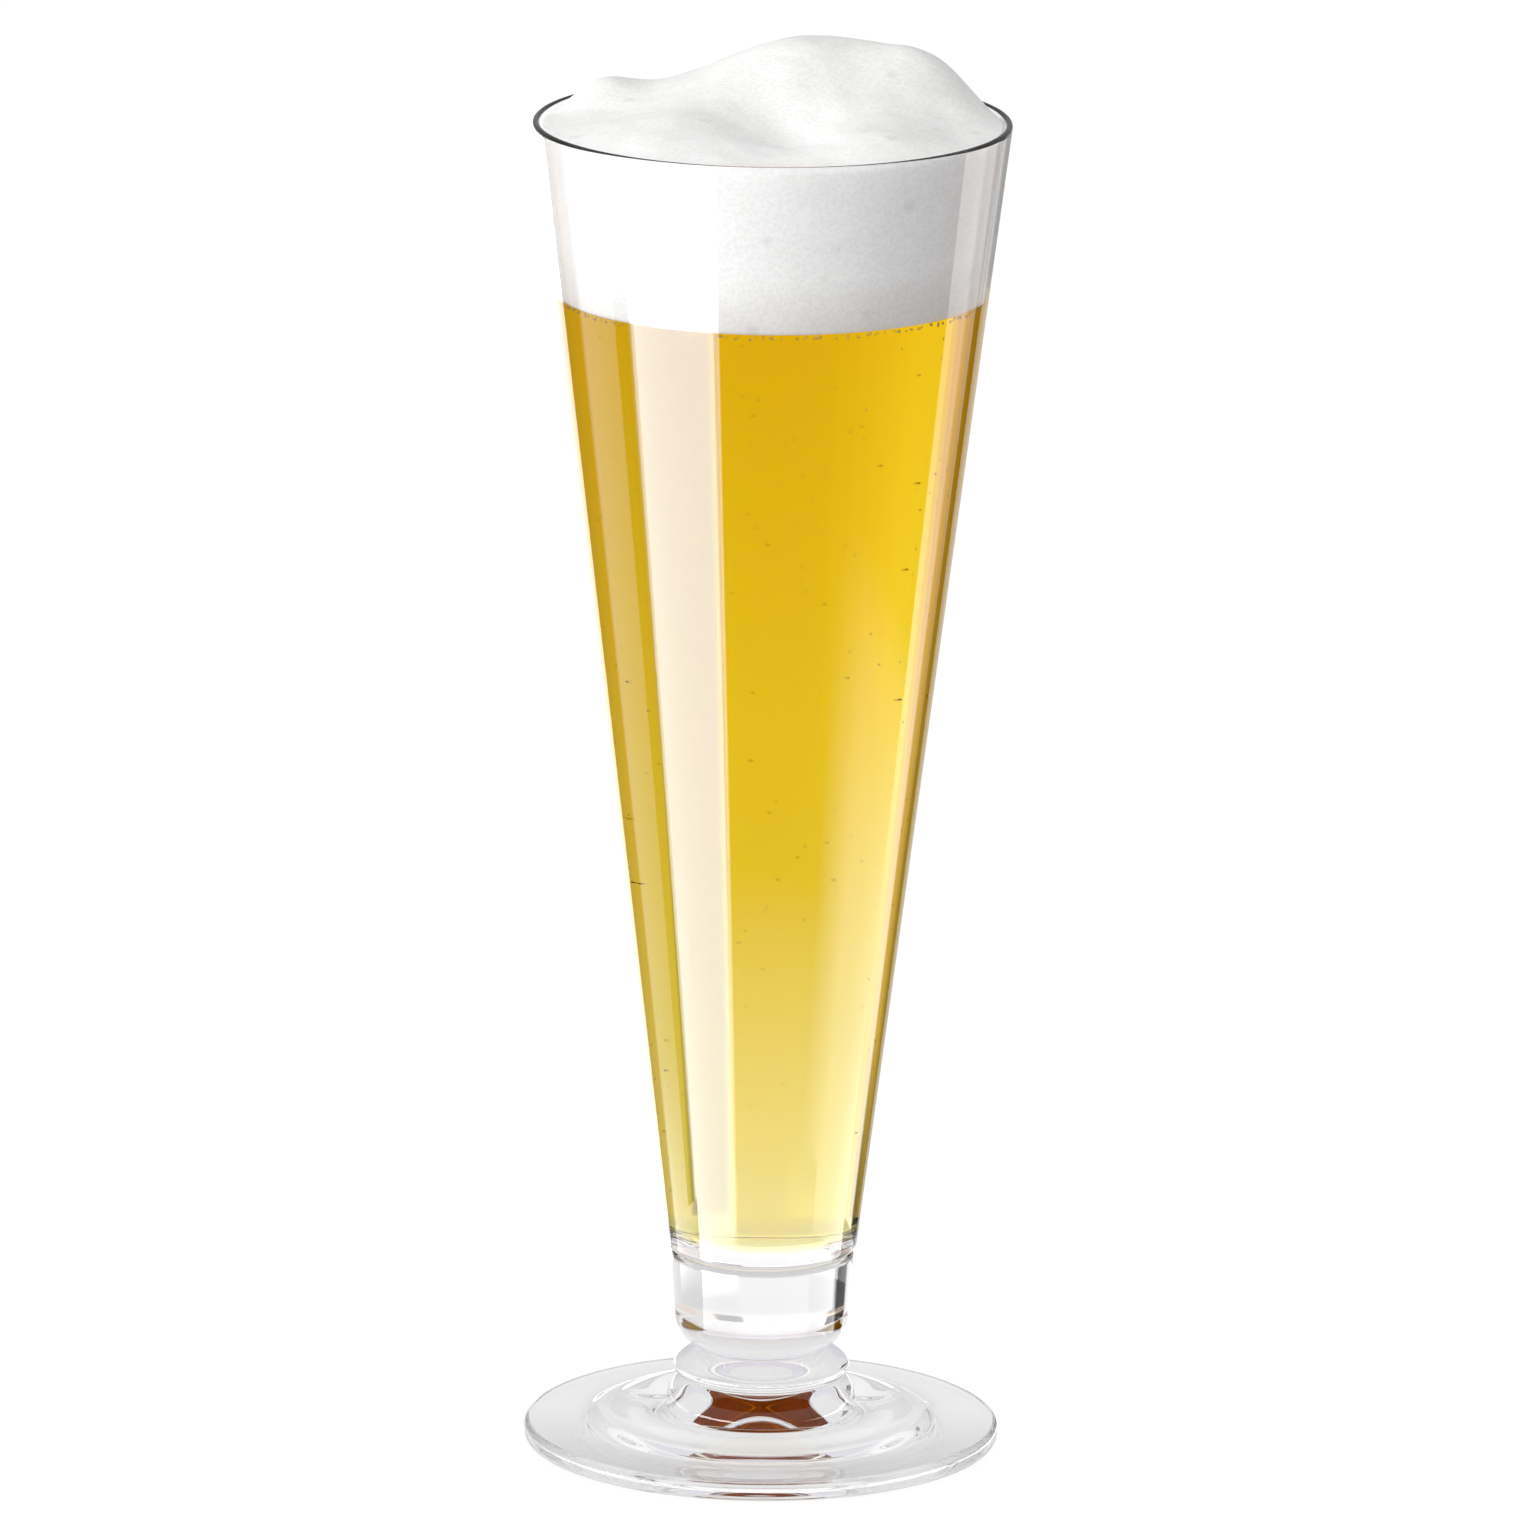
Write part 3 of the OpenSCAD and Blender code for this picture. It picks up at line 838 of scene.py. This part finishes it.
# Cards that show through the glass, each a little above the one before it, with values in the same order
THROUGH_IN, BLOCK_OUT, TABLE_OUT, THROUGH_OUT = 0.10, 0.19, 0.28, 7.0
CARD_STEP = 0.05 * MM
through_cards = (
    ("table_card_near", -180, 180, FOOT_R, TABLE_OUT, TABLE_NEAR, None),
    ("table_card", -180, 180, TABLE_OUT, THROUGH_OUT, TABLE, None),
    ("block_strip_edge_back", -143.5, -140.5, THROUGH_IN, BLOCK_OUT, TABLE_NEAR, BLOCK_STRIP),
    ("block_strip", -140.5, -125, THROUGH_IN, BLOCK_OUT, BLOCK_STRIP, None),
    ("block_strip_edge", -125, -121, THROUGH_IN, BLOCK_OUT, BLOCK_STRIP, TABLE_NEAR),
    ("bright_edge_back", -174, -158, BLOCK_OUT, THROUGH_OUT, TABLE, BRIGHT_BACK),
    ("bright_card_back", -158, -148, BLOCK_OUT, THROUGH_OUT, BRIGHT_BACK, None),
    ("limb_edge_back", -148, -142, BLOCK_OUT, THROUGH_OUT, BRIGHT_BACK, LIMB_DARK),
    ("limb_dark", -142, -138, BLOCK_OUT, THROUGH_OUT, LIMB_DARK, None),
    ("limb_edge_middle", -138, -132, BLOCK_OUT, THROUGH_OUT, LIMB_DARK, LIMB_BROWN),
    ("limb_brown", -132, -126, BLOCK_OUT, THROUGH_OUT, LIMB_BROWN, None),
    ("limb_edge", -126, -112, BLOCK_OUT, THROUGH_OUT, LIMB_BROWN, TABLE),
    ("grey_edge_limb", 90, 104, BLOCK_OUT, THROUGH_OUT, TABLE, GREY_LIMB),
    ("grey_card_limb", 104, 140, BLOCK_OUT, THROUGH_OUT, GREY_LIMB, None),
    ("grey_edge_right", 140, 146, BLOCK_OUT, THROUGH_OUT, GREY_LIMB, GREY_RIGHT),
    ("grey_card_right", 146, 157.2, BLOCK_OUT, THROUGH_OUT, GREY_RIGHT, None),
    ("strip_edge_left", 157.2, 159.6, BLOCK_OUT, THROUGH_OUT, GREY_RIGHT, STRIP),
    ("grey_strip", 159.6, 171, BLOCK_OUT, THROUGH_OUT, STRIP, None),
    ("strip_edge_right", 171, 173.2, BLOCK_OUT, THROUGH_OUT, STRIP, TABLE),
)
for number, (name, start, end, inner, outer, level, end_level) in enumerate(through_cards):
    height = CARD_Z + CARD_STEP * number
    card = sector(name, start, end, inner, outer, height, card_material(name, level, end_level))
    seen_only(card, through=True)


# Cards overhead: a dark one that the foot and knop mirror, and a cool one that shows through them
OVERHEAD_Z, OVERHEAD_IN, OVERHEAD_OUT = 1.2, 0.3, 3.0
dark_paint = card_material("dark_card_above", ABOVE_MIRRORED)
dark_above = sector("dark_card_above", -75, 75, OVERHEAD_IN, OVERHEAD_OUT, OVERHEAD_Z, dark_paint)
seen_only(dark_above, mirrored=True)
cool_paint = card_material("cool_card_above", ABOVE_THROUGH)
cool_above = sector("cool_card_above", -180, 180, 0, OVERHEAD_OUT, OVERHEAD_Z + CARD_STEP, cool_paint)
seen_only(cool_above, through=True)

shade = sector("shade_under_foot", -180, 180, 0, FOOT_R, -FLOOR_DROP / 2, shade_material())
seen_only(shade, mirrored=True, through=True)

# Upright cards: a grey one behind that the rim mirrors, and a dark one that shows through the block's side
back_wall = wall_card("dark_wall_back", 120, 240, radius=1.7, low=0.02, high=1.3, level=WALL_MIRRORED)
seen_only(back_wall, mirrored=True)
limb_wall = wall_card("dark_wall_limb", -143, -118, radius=6.9, low=0.0, high=1.5, level=BLOCK_STRIP)
seen_only(limb_wall, through=True)

world = bpy.data.worlds.new("studio")
world.use_nodes = True
world.node_tree.nodes.clear()
light_level = add_node(world.node_tree, "ShaderNodeMapRange", {
    "Value": seen_directly(world.node_tree), "To Min": AMBIENT, "To Max": 1.0})
sky = add_node(world.node_tree, "ShaderNodeBackground", {"Strength": light_level.outputs[0]})
add_node(world.node_tree, "ShaderNodeOutputWorld", {"Surface": sky.outputs[0]})
bpy.context.scene.world = world

# Light, and the camera at the photograph's angle
AIM = Vector((0.0002, 0, 0.111))
VIEW_BACK = 2.318
VIEW_HEIGHT = 0.677
VIEW_ROLL = 0.53
LENS = 350
SENSOR = 36
BOUNCES = 32


def lamp(name, azimuth, elevation, spread, strength):
    """Soft, even light from one side that stays out of the picture and out of the glass."""
    light = bpy.data.lights.new(name, "SUN")
    light.angle = math.radians(spread)
    light.energy = strength
    obj = bpy.data.objects.new(name, light)
    bpy.context.scene.collection.objects.link(obj)
    rise = math.radians(elevation)
    from_lamp = facing(azimuth) * math.cos(rise) + Vector((0, 0, math.sin(rise)))
    obj.location = AIM + from_lamp
    obj.rotation_euler = (-from_lamp).to_track_quat("-Z", "Y").to_euler()
    obj.visible_camera = False
    obj.visible_glossy = False
    obj.visible_transmission = False
    return obj


lamp("key_left", azimuth=-52, elevation=15, spread=40, strength=2.7)

camera = bpy.data.objects.new("camera", bpy.data.cameras.new("camera"))
bpy.context.scene.collection.objects.link(camera)
camera.data.lens = LENS
camera.data.sensor_width = SENSOR
camera.location = (0, -VIEW_BACK, VIEW_HEIGHT)
look = (AIM - camera.location).to_track_quat("-Z", "Y").to_matrix()
camera.rotation_euler = (look @ Matrix.Rotation(math.radians(VIEW_ROLL), 3, "Z")).to_euler()
bpy.context.scene.camera = camera

bpy.context.scene.view_settings.view_transform = "Standard"
bpy.context.scene.cycles.max_bounces = BOUNCES
bpy.context.scene.cycles.glossy_bounces = BOUNCES
bpy.context.scene.cycles.transmission_bounces = BOUNCES
bpy.context.scene.cycles.transparent_max_bounces = BOUNCES
